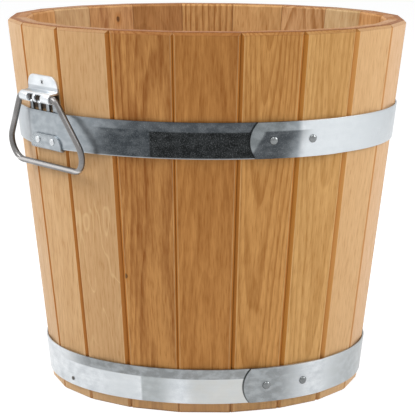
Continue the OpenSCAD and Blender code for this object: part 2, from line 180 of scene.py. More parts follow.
class Bench:
    """One new mesh, shaped in edit mode by operators. Its sizes are in millimetres."""

    def __init__(self, name: str, primitive: Callable[..., set[str]], **sizes: Any) -> None:
        """Adds a primitive and opens it, with vertices as what is picked.

        Args:
            name: the piece's name.
            primitive: the operator that adds it.
            sizes: what the operator gets, in metres.
        """
        bpy.ops.object.select_all(action="DESELECT")
        primitive(**sizes)
        self.piece = bpy.context.active_object
        self.piece.name = self.piece.data.name = name
        bpy.ops.object.transform_apply(location=True, rotation=True, scale=True)
        bpy.ops.object.mode_set(mode="EDIT")
        bpy.ops.mesh.select_mode(type="VERT")

    def close(self) -> bpy.types.Object:
        """Merges doubles, turns the faces outwards and leaves edit mode.

        Returns:
            The piece.
        """
        self.pick_all()
        bpy.ops.mesh.remove_doubles(threshold=MERGE_GAP * MM)
        bpy.ops.mesh.normals_make_consistent(inside=False)
        bpy.ops.object.mode_set(mode="OBJECT")
        return self.piece

    def pick_all(self) -> None:
        """Picks every vertex."""
        bpy.ops.mesh.select_all(action="SELECT")

    def pick(self, test: Callable[[Vector], bool]) -> None:
        """Picks the vertices whose place passes a test.

        Args:
            test: says whether a place in millimetres passes.
        """
        mesh = bmesh.from_edit_mesh(self.piece.data)
        for vertex in mesh.verts:
            vertex.select = test(vertex.co / MM)
        mesh.select_flush_mode()
        bmesh.update_edit_mesh(self.piece.data)

    def move(self, x: float, y: float, z: float) -> None:
        """Moves what is picked."""
        bpy.ops.transform.translate(value=metres((x, y, z)))

    def stretch(self, x: float, y: float, z: float, about: Point = (0.0, 0.0, 0.0)) -> None:
        """Scales what is picked about a place."""
        bpy.ops.transform.resize(value=(x, y, z), center_override=metres(about))

    def turn(self, degrees: float, axis: str, about: Point = (0.0, 0.0, 0.0)) -> None:
        """Turns what is picked, anticlockwise as seen along the axis towards its foot."""
        angle = -math.radians(degrees)
        bpy.ops.transform.rotate(value=angle, orient_axis=axis, center_override=metres(about))

    def pull(self, x: float = 0.0, y: float = 0.0, z: float = 0.0) -> None:
        """Extrudes what is picked."""
        bpy.ops.mesh.extrude_region_move(TRANSFORM_OT_translate={"value": metres((x, y, z))})

    def swing(self, steps: int, degrees: float, about: Point) -> None:
        """Spins what is picked, anticlockwise about an upright axis."""
        angle = -math.radians(degrees)
        bpy.ops.mesh.spin(steps=steps, angle=angle, center=metres(about), axis=(0, 0, 1))

    def cut(self, point: Point, normal: Vector) -> None:
        """Cuts off all that is past a plane, and closes the cut.

        Args:
            point: a place on the plane.
            normal: points from the plane to what is cut off.
        """
        self.pick_all()
        plane = {"plane_co": metres(point), "plane_no": normal.normalized()}
        bpy.ops.mesh.bisect(use_fill=True, clear_outer=True, **plane)


def work_on(*pieces: bpy.types.Object) -> None:
    """Selects only these pieces, the first of them active.

    Args:
        pieces: the pieces.
    """
    bpy.ops.object.select_all(action="DESELECT")
    for piece in pieces:
        piece.select_set(True)
    bpy.context.view_layer.objects.active = pieces[0]


def modify(piece: bpy.types.Object, kind: str, **settings: Any) -> None:
    """Adds a modifier to a piece and applies it.

    Args:
        piece: the piece.
        kind: the modifier's type.
        settings: its properties by name.
    """
    work_on(piece)
    modifier = piece.modifiers.new(kind.lower(), kind)
    for name, value in settings.items():
        setattr(modifier, name, value)
    bpy.ops.object.modifier_apply(modifier=modifier.name)


def smooth(piece: bpy.types.Object, limit: float = SMOOTH_ANGLE) -> None:
    """Shades a piece smooth between its edges of more than a limit in degrees."""
    work_on(piece)
    bpy.ops.object.shade_smooth_by_angle(angle=math.radians(limit))


def ease(piece: bpy.types.Object, width: float, limit: float) -> None:
    """Rounds a piece's sharp edges and shades it smooth between them.

    Args:
        piece: the piece.
        width: how wide the rounding is, in millimetres.
        limit: angle in degrees from which an edge is sharp.
    """
    angle = math.radians(limit)
    modify(piece, "BEVEL", width=width * MM, segments=2, limit_method="ANGLE", angle_limit=angle)
    smooth(piece, limit)


def placed_copy(piece: bpy.types.Object, name: str, place: Matrix) -> bpy.types.Object:
    """Copies a piece to a place, with a mesh of its own.

    Args:
        piece: the piece.
        name: the copy's name.
        place: where it goes, in millimetres.

    Returns:
        The copy.
    """
    work_on(piece)
    bpy.ops.object.duplicate()
    copy = bpy.context.active_object
    copy.name = copy.data.name = name
    in_metres = place.copy()
    in_metres.translation = place.translation * MM
    copy.matrix_world = in_metres @ copy.matrix_world
    bpy.ops.object.transform_apply(location=True, rotation=True, scale=True)
    return copy


def joined(name: str, pieces: list[bpy.types.Object]) -> bpy.types.Object:
    """Joins pieces into one object.

    Args:
        name: the object's name.
        pieces: the pieces.

    Returns:
        The object.
    """
    work_on(*pieces)
    bpy.ops.object.join()
    pieces[0].name = pieces[0].data.name = name
    return pieces[0]


def deliver(
    piece: bpy.types.Object, node: str, finish: bpy.types.Material, body: str = BODY
) -> None:
    """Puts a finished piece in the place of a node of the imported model.

    Args:
        piece: the piece.
        node: the node that it stands for.
        finish: its material.
        body: the body that it rides on.
    """
    piece.data.materials.clear()
    piece.data.materials.append(finish)
    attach(piece, body)
    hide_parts(node)
    log.info("%s: %d faces, for %s", piece.name, len(piece.data.polygons), node)


def dress(node: str, finish: bpy.types.Material) -> None:
    """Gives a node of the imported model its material.

    Args:
        node: the node's name.
        finish: its material.
    """
    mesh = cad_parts[node].data
    mesh.materials.clear()
    mesh.materials.append(finish)
    log.info("dressed %s", node)


def eased_node(node: str, width: float) -> bpy.types.Object:
    """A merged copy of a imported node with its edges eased.

    Args:
        node: the node's name.
        width: how wide the easing is, in millimetres.

    Returns:
        The copy.
    """
    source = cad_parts[node]
    piece = bpy.data.objects.new(f"{node}_eased", source.data.copy())
    bpy.context.scene.collection.objects.link(piece)
    piece.data.transform(source.matrix_world)
    work_on(piece)
    bpy.ops.object.mode_set(mode="EDIT")
    bpy.ops.mesh.select_all(action="SELECT")
    bpy.ops.mesh.remove_doubles(threshold=MERGE_GAP * MM)
    bpy.ops.mesh.dissolve_limited(angle_limit=math.radians(FLAT_ANGLE))
    bpy.ops.object.mode_set(mode="OBJECT")
    ease(piece, width, SHARP_ANGLE)
    return piece


def from_hex(code: str) -> tuple[float, ...]:
    """Linear red, green, blue and alpha of a screen colour that is given as rrggbb."""
    parts = [int(code[i : i + 2], 16) / 255 for i in (0, 2, 4)]
    return (*(p / 12.92 if p <= 0.04045 else ((p + 0.055) / 1.055) ** 2.4 for p in parts), 1.0)


class Wire:
    """One shader value. Its operators add Math nodes to its graph."""

    def __init__(self, graph: Graph, socket: bpy.types.NodeSocket) -> None:
        """Wraps a node's output socket."""
        self.graph = graph
        self.socket = socket

    def math(self, operation: str, *others: Value, clamp: bool = False) -> Wire:
        """Adds a Math node on this and other values, kept from 0 to 1 if clamped."""
        settings = {"operation": operation, "use_clamp": clamp}
        return self.graph.node("ShaderNodeMath", settings, dict(enumerate((self, *others))))

    def __add__(self, other: Value) -> Wire:
        """Sum."""
        return self.math("ADD", other)

    __radd__ = __add__

    def __mul__(self, other: Value) -> Wire:
        """Product."""
        return self.math("MULTIPLY", other)

    def __sub__(self, other: Value) -> Wire:
        """Difference."""
        return self.math("SUBTRACT", other)

    def __rsub__(self, other: Value) -> Wire:
        """Difference from a number."""
        return (self * -1.0) + other

    def __truediv__(self, other: Value) -> Wire:
        """Quotient."""
        return self.math("DIVIDE", other)

    def __abs__(self) -> Wire:
        """Distance from zero."""
        return self.math("ABSOLUTE")

    def fract(self) -> Wire:
        """What is over the whole number below."""
        return self.math("FRACT")

    def root(self) -> Wire:
        """Square root."""
        return self.math("SQRT")

    def clamped(self) -> Wire:
        """Kept from 0 to 1."""
        return self.math("ADD", 0.0, clamp=True)

    def sway(self, amount: float) -> Wire:
        """Noise of 0 to 1 as a sway of this amount about zero."""
        return (self - 0.5) * amount

    def ramp(self, start: float, end: float) -> Wire:
        """Goes smoothly from 0 to 1.

        Args:
            start: value at which the result is 0.
            end: value at which the result is 1, above or below start.

        Returns:
            The result.
        """
        inputs = {"Value": self, "From Min": min(start, end), "From Max": max(start, end)}
        inputs |= {"To Min": float(start > end), "To Max": float(start < end)}
        return self.graph.node("ShaderNodeMapRange", {"interpolation_type": "SMOOTHSTEP"}, inputs)

    def between(self, low: float, high: float, rise: float, fall: float) -> Wire:
        """Is 0 below low and above high, and 1 from a rise over low to a fall under high."""
        return self.ramp(low, low + rise) * self.ramp(high, high - fall)


@dataclass(frozen=True)
class Coat:
    """A tone that is laid over a colour, and how much of it at most."""

    tone: str
    share: float


class Graph:
    """The node graph of one material or world."""

    def __init__(self, tree: bpy.types.NodeTree) -> None:
        """Empties the node tree that is filled."""
        self.tree = tree
        tree.nodes.clear()

    def add(self, kind: str, settings: dict[str, Any], inputs: dict[Any, Any]) -> bpy.types.Node:
        """Adds one node, with its settings made before its inputs.

        Args:
            kind: the node's type.
            settings: its properties by name.
            inputs: a value or a Wire for each input, by name or place.

        Returns:
            The node.
        """
        node = self.tree.nodes.new(kind)
        for name, value in settings.items():
            setattr(node, name, value)
        for key, value in inputs.items():
            if isinstance(value, Wire):
                self.tree.links.new(value.socket, node.inputs[key])
            else:
                node.inputs[key].default_value = value
        return node

    def node(
        self, kind: str, settings: dict[str, Any], inputs: dict[Any, Any], out: int | str = 0
    ) -> Wire:
        """Adds one node and takes one of its outputs, by name or place."""
        return Wire(self, self.add(kind, settings, inputs).outputs[out])

    def mix(self, share: Value, first: Wire | str, second: Wire | str) -> Wire:
        """Mixes two colours.

        Args:
            share: share of the second.
            first: a Wire or a hex code.
            second: a Wire or a hex code.

        Returns:
            The mixed colour.
        """
        settings = {"data_type": "RGBA", "clamp_factor": True}
        colours = [c if isinstance(c, Wire) else from_hex(c) for c in (first, second)]
        inputs = {0: share, 6: colours[0], 7: colours[1]}
        return self.node("ShaderNodeMix", settings, inputs, out=2)

    def lay(self, colour: Wire, coats: list[Laid]) -> Wire:
        """Lays coats over a colour, one after the other.

        Args:
            colour: the colour.
            coats: how much of each coat lies at the place, and the coat.

        Returns:
            The new colour.
        """
        for there, coat in coats:
            colour = self.mix(there * coat.share, colour, coat.tone)
        return colour

    def bump(self, height: Wire, strength: float, distance: float) -> Wire:
        """The normal of a relief that stands out by a distance in millimetres."""
        inputs = {"Strength": strength, "Distance": distance * MM, "Height": height}
        return self.node("ShaderNodeBump", {}, inputs, out="Normal")


class Spot:
    """The shaded place, in millimetres and in a frame turned about the tub's axis."""

    def __init__(self, graph: Graph, turn: float = 0.0) -> None:
        """Adds the nodes that give the place.

        Args:
            graph: the material's graph.
            turn: the frame's angle in degrees.
        """
        coords = graph.node("ShaderNodeTexCoord", {}, {}, out="Object")
        turned = (0.0, 0.0, -math.radians(turn))
        inputs = {"Vector": coords, "Rotation": turned, "Scale": (1.0 / MM,) * 3}
        self.graph = graph
        self.place = graph.node("ShaderNodeMapping", {}, inputs)
        parts = graph.add("ShaderNodeSeparateXYZ", {}, {0: self.place}).outputs
        self.x, self.y, self.z = (Wire(graph, part) for part in parts)

    def noise(self, scale: Point, detail: float, seed: float = 0.0) -> Wire:
        """Noise from 0 to 1 that is stretched along the axes.

        Args:
            scale: lumps per millimetre along each axis.
            detail: how many finer layers it has.
            seed: moves the noise, for another pattern.

        Returns:
            The noise.
        """
        moved = (seed, seed * 0.7, 0)
        inputs = {"Vector": self.place, "Scale": scale, "Location": moved}
        at = self.graph.node("ShaderNodeMapping", {}, inputs)
        inputs = {"Vector": at, "Scale": 1.0, "Detail": detail}
        return self.graph.node("ShaderNodeTexNoise", {"noise_dimensions": "3D"}, inputs)

    def over_stave(self) -> tuple[Wire, Wire]:
        """Distance out of the face of the stave behind either strap, and height up it.

        Returns:
            The distance and the height.
        """
        run = abs(self.x) - FORM.face_r(0)
        lean, upright = math.sin(FORM.tilt), math.cos(FORM.tilt)
        return run * upright - self.z * lean, run * lean + self.z * upright


def new_material(name: str) -> tuple[bpy.types.Material, Graph]:
    """An empty material and its graph.

    Args:
        name: the material's name.

    Returns:
        The material and its graph.
    """
    material = bpy.data.materials.new(name)
    material.use_nodes = True
    return material, Graph(material.node_tree)


@dataclass(frozen=True)
class Finish:
    """One procedural material with a light and a dark tone."""

    name: str
    light: str
    dark: str
    turn: float = 0.0

    def material(self) -> bpy.types.Material:
        """Makes the material.

        Returns:
            The material.
        """
        material, graph = new_material(self.name)
        surface = graph.node("ShaderNodeBsdfPrincipled", {}, self._inputs(Spot(graph, self.turn)))
        graph.add("ShaderNodeOutputMaterial", {}, {"Surface": surface})
        return material

    def _inputs(self, spot: Spot) -> dict[str, Any]:
        """What the surface's inputs get at a place."""
        raise NotImplementedError


class Figure(Enum):
    """How a board was sawn from the log, which sets its figure."""

    CATHEDRAL = "flat sawn, with nested arches"
    RIFT = "rift sawn, with straight lines"
    FLECKED = "quarter sawn, with pale ray flecks"


# Lumps of the wood's patterns per millimetre through the board, across its face and up it
FIBRE = (0.66, 0.66, 0.0024)
BAND = (0.16, 0.16, 0.0016)
BROAD = (0.035, 0.035, 0.0012)
RING_BEND = (0.014, 0.014, 0.0025)
RING_SPREAD = (0.05, 0.05, 0.002)
RAY_CURL = (0.06, 0.06, 0.014)
KNOT_EDGE = (0.5, 0.5, 0.4)

# What lies on the wood: in its pores, rays and knots, a painted highlight on the edge beside
# # a joint, the joint's dark bottom, the end grain, the worn foot, and painted shade behind a strap
PORES, RAYS, KNOT = Coat("9f5f20", 0.22), Coat("eacb9a", 0.28), Coat("4a2a12", 0.8)
ARRIS_HIGHLIGHT, JOINT = Coat("ecd0a4", 0.18), Coat("5f3210", 0.5)
END_GRAIN, FOOT, STRAP_SHADE = Coat("7c4a22", 1.0), Coat("dcb88e", 0.4), Coat("2c2d2e", 0.9)
# How much of the flanks' own tone lies round a knot and on the flanks
ROUND_KNOT, FLANK = 0.4, 0.9


@dataclass(frozen=True)
class Oak(Finish):
    """Oiled oak of one board, in the board's own frame.

    The pith is the middle of the tree's rings. Its place is given at the board's middle
    height as a depth behind the face and a distance to the side, and its lean says how
    far it moves for each millimetre of height. A knot is a place to the side, a height
    and a size. The flanks are how far the two joints reach over the face.
    """

    name: str = "oak"
    light: str = "d2a06a"
    dark: str = "a16c3a"
    figure: Figure = Figure.RIFT
    pith: Pair = (70.0, 0.0)
    lean: Pair = (0.03, 0.0)
    ring: float = 5.0
    streak: float = 1.0
    bold: float = 1.0
    # Painted shade: how much darker the board grows towards its top, where less light falls
    fade: float = 0.0
    seed: float = 1.0
    knots: tuple[Point, ...] = ()
    flanks: Pair = (2.5, 2.5)
    flank_tone: str = "b57430"
    shade_behind_strap: bool = False
    face_r: float = 180.0
    joint_depth: Pair = (4.6, 3.9)
    shade_z: Pair = (284.0, 303.0)
    fleck_z: Pair = (45.0, 225.0)

    def _inputs(self, spot: Spot) -> dict[str, Any]:
        """The grain's colour, gloss and relief.

        Args:
            spot: the shaded place.

        Returns:
            What the surface's inputs get.
        """
        fibre = spot.noise(FIBRE, 3.0, self.seed)
        band = spot.noise(BAND, 1.0, self.seed + 5.0)
        broad = spot.noise(BROAD, 1.0, self.seed + 9.0)
        rings = self._rings(spot)
        tone = 0.45 + fibre.sway(1.2) + band.sway(0.9 * self.streak) + broad.sway(0.8 * self.streak)
        # Painted shade: darker towards the top by the fade
        tone = tone + (spot.z / FORM.height).sway(self.fade)
        colour = spot.graph.mix((tone + rings).clamped(), self.light, self.dark)
        pores = fibre.ramp(0.57, 0.7)
        coats = [(pores, PORES), *self._flecks(spot), *self._knots(spot), *self._joints(spot)]
        colour = spot.graph.lay(colour, [*coats, *self._ends(spot, fibre)])
        rough = 0.54 + pores * 0.14 + band.sway(0.2)
        bump = spot.graph.bump(rings * 0.7 - pores, 0.3, 0.2)
        return {"Base Color": colour, "Roughness": rough, "Normal": bump, "Specular IOR Level": 0.1}

    def _rings(self, spot: Spot) -> Wire:
        """How much darker the tree's rings make each place.

        Args:
            spot: the shaded place.

        Returns:
            The share of the dark tone that they add, under 0 between them.
        """
        bend = spot.noise(RING_BEND, 1.0, self.seed + 3.0)
        rise = spot.z - FORM.height / 2
        depth, side = self.pith
        across = spot.x - (self.face_r - depth) + rise * self.lean[0] + bend.sway(16.0)
        aside = spot.y - side - rise * self.lean[1] + bend.sway(6.0)
        distance = (across * across + aside * aside).root()
        spread = spot.noise(RING_SPREAD, 1.0, self.seed + 13.0)
        share = (distance / self.ring + spread * 2.0).fract()
        line = share.ramp(0.35, 0.85) * share.ramp(1.0, 0.92)
        strength = 0.46 if self.figure is Figure.CATHEDRAL else 0.18
        return (line - 0.3) * (strength * self.bold)

    def _flecks(self, spot: Spot) -> list[Laid]:
        """Pale curls where the saw ran along the tree's rays.

        Args:
            spot: the shaded place.

        Returns:
            What lies there.
        """
        if self.figure is not Figure.FLECKED:
            return []
        thin = abs(spot.noise(RAY_CURL, 1.0, self.seed + 21.0) - 0.5).ramp(0.02, 0.002)
        return [(thin * spot.z.between(*self.fleck_z, 35.0, 35.0), RAYS)]

    def _knots(self, spot: Spot) -> list[Laid]:
        """Small knots and the darker wood round them.

        Args:
            spot: the shaded place.

        Returns:
            What lies there.
        """
        coats = []
        for side, height, size in self.knots:
            aside, up = spot.y - side, spot.z - height
            ragged = spot.noise(KNOT_EDGE, 1.0, self.seed + 31.0).sway(0.6)
            off = (aside * aside + up * up * 0.4).root() / size + ragged
            coats.append((off.ramp(2.6, 1.0), Coat(self.flank_tone, ROUND_KNOT)))
            coats.append((off.ramp(1.0, 0.5), KNOT))
        return coats

    def _depth(self, spot: Spot) -> Wire:
        """How far a place is behind the board's face, level with the floor."""
        return spot.z * (FORM.slope * math.cos(FORM.half)) + FORM.face_r(0) - spot.x

    def _joints(self, spot: Spot) -> list[Laid]:
        """Both joints' flanks, a painted highlight on the edges beside them, and their bottoms.

        Args:
            spot: the shaded place.

        Returns:
            What lies there.
        """
        depth = self._depth(spot)
        outer = depth.ramp(*self.joint_depth)
        corner = spot.x * math.tan(FORM.half)
        steep = math.tan(FORM.half) + 1 / math.tan(FORM.half + math.pi / 4)
        coats = []
        for width, gap in zip(self.flanks, (corner + spot.y, corner - spot.y)):
            past = gap + depth * steep - width
            # Painted highlight: a pale line on the face's edge beside each joint
            coats.append((past.ramp(1.6, 0.9) * past.ramp(0.2, 0.6) * outer, ARRIS_HIGHLIGHT))
            coats.append((past.ramp(0.4, 0.15) * outer, Coat(self.flank_tone, FLANK)))
            coats.append((gap.ramp(0.6, 0.1), JOINT))
        return coats

    def _ends(self, spot: Spot, fibre: Wire) -> list[Laid]:
        """End grain, the worn foot and painted shade on the wood behind the strap.

        Args:
            spot: the shaded place.
            fibre: the noise of the wood's fibres.

        Returns:
            What lies there.
        """
        top, depth, z = FORM.height, self._depth(spot), spot.z
        ends = (z.ramp(top - 0.9, top - 0.2) + z.ramp(0.7, 0.2)).clamped()
        eased = z.ramp(top - 3.6, top - 3.0) * depth.ramp(10.0, 7.0)
        grain = ends * 0.5 + eased * 0.35 + fibre.ramp(0.45, 0.6) * ends * 0.3
        coats = [(grain.clamped(), END_GRAIN), (z.ramp(11.0, 8.0) * z.ramp(0.7, 1.4), FOOT)]
        # Painted shade: the wood behind the strap's slots, under its roll, is laid dark grey
        if self.shade_behind_strap:
            side = FORM.strap_w / 2
            behind = abs(spot.y).ramp(side, side - 2.0) * z.between(*self.shade_z, 3.0, 3.0)
            coats.append((behind * depth.ramp(*self.joint_depth), STRAP_SHADE))
        return coats


class Layer(Enum):
    """Which layer of a lapped strip a patch lies on."""

    BOTH = "both layers"
    UNDER = "the layer next to the staves"
    OVER = "the lapped end"


@dataclass(frozen=True)
class Patch:
    """A stretch of sheet with another tone, which paints duller zinc together with painted
    reflection, shade and highlight: its angles, heights, colour and share.

    Its first end is soft over some degrees and its last end fades over some. It can slant
    by degrees for each millimetre of height, be striped or cloudy, and follow the arc of
    the lapped end of the hoop whose lower edge is at arc_z.
    """

    start: float
    end: float
    low: float
    high: float
    colour: str
    share: float
    soft: float = 1.0
    fade: float = 1.0
    slant: float = 0.0
    striped: float = 0.0
    cloudy: float = 0.3
    layer: Layer = Layer.BOTH
    arc_z: float = 0.0

    def across(self, turn: Wire, z: Wire) -> Wire:
        """The angle about the tub that counts for the patch's ends.

        Args:
            turn: the place's angle in degrees.
            z: the place's height.

        Returns:
            The angle, with the patch's slant or arc taken off.
        """
        if not self.arc_z:
            return turn + (z - self.low) * self.slant
        up = z - (self.arc_z + FORM.hoop_w / 2)
        back = FORM.lap_end_r - (FORM.lap_end_r**2 - up * up).root()
        return turn - back * FORM.hoop_turn(self.arc_z, 1.0)


# Lumps of the sheet's patterns per millimetre along the axes, and the tone of its bloom
CLOUD = (0.014, 0.014, 0.03)
SHEET_GRAIN = (1.1, 1.1, 1.1)
ROLLED = (0.02, 0.02, 0.5)
SPANGLE = (0.1, 0.1, 0.17)
BLOOM_TONE = "c6ccd0"


@dataclass(frozen=True)
class Galvanised(Finish):
    """Zinc-coated sheet with a fine spangle and painted stretches: duller zinc together with
    painted reflection, shade and highlight.
    """

    light: str = "dfe3e6"
    dark: str = "aeb4b9"
    rough: float = 0.34
    metal: float = 0.9
    patches: tuple[Patch, ...] = ()

    def _inputs(self, spot: Spot) -> dict[str, Any]:
        """The sheet's colour, gloss and relief.

        Args:
            spot: the shaded place.

        Returns:
            What the surface's inputs get.
        """
        x, y, z = spot.x, spot.y, spot.z
        cloud = spot.noise(CLOUD, 3.0)
        grain = spot.noise(SHEET_GRAIN, 2.0, 2.0)
        rolled = spot.noise(ROLLED, 2.0, 4.0)
        spangle = spot.noise(SPANGLE, 3.0, 6.0)
        tone = 0.4 + cloud.sway(1.3) + grain.sway(0.5) + rolled.sway(0.35) + spangle.sway(1.1)
        colour = spot.graph.mix(tone.clamped(), self.light, self.dark)
        turn = y.math("ARCTAN2", x) * math.degrees(1.0) + FULL_TURN
        turn = turn.math("MODULO", FULL_TURN)
        over = ((x * x + y * y).root() - z * FORM.slope - FORM.base_r).ramp(2.0, 2.5)
        layers = {Layer.BOTH: 1.0, Layer.UNDER: 1.0 - over, Layer.OVER: over}
        bare = rolled.ramp(0.42, 0.6)
        speck, bloom = grain.ramp(0.48, 0.8) * 0.14, spangle.ramp(0.36, 0.68)
        # Each patch lays a tone that is partly the zinc's duller tone and partly painted
        # reflection, shade and highlight
        for patch in self.patches:
            across = patch.across(turn, z)
            share = across.between(patch.start, patch.end, patch.soft, patch.fade)
            share = share * z.between(patch.low, patch.high, 1.2, 1.6) * patch.share
            share = share * (1.0 - bare * patch.striped) * layers[patch.layer]
            dull_and_reflection = spot.graph.mix(speck + bloom * patch.cloudy, patch.colour, BLOOM_TONE)
            colour = spot.graph.mix(share, colour, dull_and_reflection)
        rough = self.rough + cloud.sway(0.24) + grain.sway(0.16)
        bump = spot.graph.bump(grain + cloud * 2.0, 0.14, 0.2)
        return {"Base Color": colour, "Metallic": self.metal, "Roughness": rough, "Normal": bump}


# Lumps of the steel's patterns per millimetre, the painted shade in its slots, and the painted
# highlight and shade on a wire
STEEL_CLOUD = (0.06, 0.06, 0.06)
STEEL_GRAIN = (0.7, 0.7, 0.7)
SLOT_SHADE, TOP_HIGHLIGHT, UNDER_SHADE = Coat("17181a", 1.0), Coat("e9e6e4", 0.6), Coat("2b2928", 0.85)


@dataclass(frozen=True)
class Steel(Finish):
    """A turned fastener's steel, with fine marks."""

    rough: float = 0.3
    metal: float = 0.95

    def _inputs(self, spot: Spot) -> dict[str, Any]:
        """The steel's colour, gloss and relief.

        Args:
            spot: the shaded place.

        Returns:
            What the surface's inputs get.
        """
        cloud = spot.noise(STEEL_CLOUD, 3.0)
        grain = spot.noise(STEEL_GRAIN, 2.0, 2.0)
        tone = 0.45 + cloud.sway(1.2) + grain.sway(0.5)
        colour = spot.graph.mix(tone.clamped(), self.light, self.dark)
        colour = spot.graph.lay(colour, self._painted_light(spot))
        rough = self.rough + cloud.sway(0.2)
        bump = spot.graph.bump(grain, 0.1, 0.1)
        return {"Base Color": colour, "Metallic": self.metal, "Roughness": rough, "Normal": bump}

    def _painted_light(self, spot: Spot) -> list[Laid]:
        """What painted light and shade lie on it: nothing on a plain fastener."""
        return []


@dataclass(frozen=True)
class SlottedSteel(Steel):
    """A screw's steel, with painted shade at the bottom of its cross slot."""

    def _painted_light(self, spot: Spot) -> list[Laid]:
        """Painted shade where the slot goes under the head's face."""
        sunk = FORM.strap_t - spot.over_stave()[0]
        return [(sunk.ramp(0.25, 0.65), SLOT_SHADE)]


@dataclass(frozen=True)
class DrawnSteel(Steel):
    """A handle's wire, with a painted highlight along the top of its grip and painted shade under
    it and on its side next to the tub.
    """

    def _painted_light(self, spot: Spot) -> list[Laid]:
        """The painted highlight along the top of the hanging wire's grip, and the painted shade
        under it and on its inner side.

        Args:
            spot: the shaded place.

        Returns:
            What lies there.
        """
        out, up = spot.over_stave()
        out, up = out - FORM.pivot_out, up - FORM.pivot_up
        sine, cosine = (f(math.radians(FORM.wire_lean)) for f in (math.sin, math.cos))
        proud = out * cosine - up * sine
        rise = out * sine + up * cosine + FORM.wire_drop
        # Painted shade under the bar and on the wire's side towards the tub, and a painted
        # highlight along the bar's top
        dull = proud.ramp(0.6, -2.2) * 0.7 + rise.ramp(-0.2, -2.4)
        return [(rise.between(-0.2, 2.6, 1.0, 1.0), TOP_HIGHLIGHT), (dull.clamped(), UNDER_SHADE)]


@dataclass
class TubWall:
    """The staves, each modelled from a board of its own.

    A joint's two numbers are how far its flanks reach over the faces of the stave before
    it and of the stave after it. Joints are counted by the angle, in degrees, they are at.
    """

    boards: dict[int, Oak]
    joints: dict[int, Pair]
    plain_joint: Pair = (2.2, 2.2)
    strapped: tuple[int, int] = (1, 11)
    rim_bevel: float = 3.0
    rim_bevel_in: float = 2.0
    foot_bevel: float = 1.5
    easing: float = 0.3
    sharp: float = 20.0
    groove_sides: int = 240

    def build(self) -> None:
        """Models and dresses the staves."""
        groove = self._groove()
        for number in range(1, FORM.staves + 1):
            angle = (number - 1) * 2 * FORM.half_angle
            flanks = self._flanks(angle)
            model = self._stave(flanks)
            ease(model, self.easing, self.sharp)
            modify(model, "BOOLEAN", operation="DIFFERENCE", object=groove)
            turn = Matrix.Rotation(math.radians(angle), 4, "Z")
            piece = placed_copy(model, f"oak_stave_{number:02d}", turn)
            bpy.data.objects.remove(model)
            finish = replace(
                self._oak_of(number),
                name=f"oak_board_{number:02d}",
                turn=angle,
                flanks=flanks,
                shade_behind_strap=number in self.strapped,
            )
            deliver(piece, f"stave_{number:02d}", finish.material())
        bpy.data.objects.remove(groove)

    def _flanks(self, angle: float) -> Pair:
        """How far the joints' flanks reach over the two sides of the stave at an angle.

        Args:
            angle: the stave's angle in degrees.

        Returns:
            The reach over its side towards -Y and towards +Y.
        """
        before, after = (round(angle + side * FORM.half_angle) % FULL_TURN for side in (-1, 1))
        plain = self.plain_joint
        return self.joints.get(before, plain)[1], self.joints.get(after, plain)[0]

    def _oak_of(self, number: int) -> Oak:
        """The oak of a stave's board, which is plain where the photograph hides it.

        Args:
            number: the stave's number.

        Returns:
            The oak.
        """
        if number in self.boards:
            return replace(self.boards[number], seed=float(number))
        return Oak(seed=7.0 * number, pith=(60.0 + 9.0 * (number % 4), 12.0 * (number % 3 - 1)))

    def _stave(self, flanks: Pair) -> bpy.types.Object:
        """Models one stave at +X.

        Args:
            flanks: how far its joints' flanks reach over its face, towards -Y and +Y.

        Returns:
            The stave.
        """
        depth, height = FORM.stave_depth, FORM.height
        foot, rim = FORM.face_r(0), FORM.face_r(height)
        width = 2 * foot * math.tan(FORM.half)
        bench = Bench(
            "stave_model",
            bpy.ops.mesh.primitive_cube_add,
            size=1,
            location=metres((foot - depth / 2, 0, height / 2)),
            scale=metres((depth, width, height)),
        )
        bench.pick(lambda p: p.z > height / 2)
        bench.move(rim - foot, 0, 0)
        for face, z in ((foot, 0.0), (rim, height)):
            for x in (face, face - depth):
                bench.pick(lambda p, x=x, z=z: abs(p.x - x) < NEAR and abs(p.z - z) < NEAR)
                bench.stretch(1, x / foot, 1, (x, 0, z))
        self._cut_flanks(bench, flanks)
        self._cut_bevels(bench)
        return bench.close()

    def _cut_flanks(self, bench: Bench, flanks: Pair) -> None:
        """Cuts the flanks of both joints along the stave's corners.

        Args:
            bench: the stave.
            flanks: how far they reach over its face.
        """
        foot, slope = FORM.face_r(0), FORM.slope
        for side, reach in zip((-1, 1), flanks):
            corner = Vector((slope * math.cos(FORM.half), side * slope * math.sin(FORM.half), 1))
            corner.normalize()
            turn = side * (FORM.half + math.pi / 4)
            flat = Vector((math.cos(turn), math.sin(turn), 0))
            start = (foot, side * (foot * math.tan(FORM.half) - reach), 0)
            bench.cut(start, flat - flat.dot(corner) * corner)

    def _cut_bevels(self, bench: Bench) -> None:
        """Cuts the bevels of the rim, outside and inside, and of the foot.

        Args:
            bench: the stave.
        """
        for end, out, bevel, inset in (
            (FORM.height, 1, self.rim_bevel, 0.0),
            (FORM.height, -1, self.rim_bevel_in, FORM.stave_depth),
            (0.0, 1, self.foot_bevel, 0.0),
        ):
            up = 1 if end else -1
            start = FORM.face_r(end) - inset - out * bevel
            run = FORM.face_r(end - up * bevel) - inset - start
            bench.cut((start, 0, end), Vector((out * bevel, 0, up * abs(run))))

    def _groove(self) -> bpy.types.Object:
        """The round shape that cuts the groove for the bottom.

        Returns:
            The shape.
        """
        radius = FORM.face_r(FORM.bottom_z) - FORM.stave_depth + FORM.croze
        deep = FORM.bottom_t + FORM.fit
        bench = Bench(
            "groove",
            bpy.ops.mesh.primitive_cylinder_add,
            vertices=self.groove_sides,
            radius=radius * MM,
            depth=deep * MM,
            location=metres((0, 0, FORM.bottom_z + deep / 2)),
        )
        return bench.close()


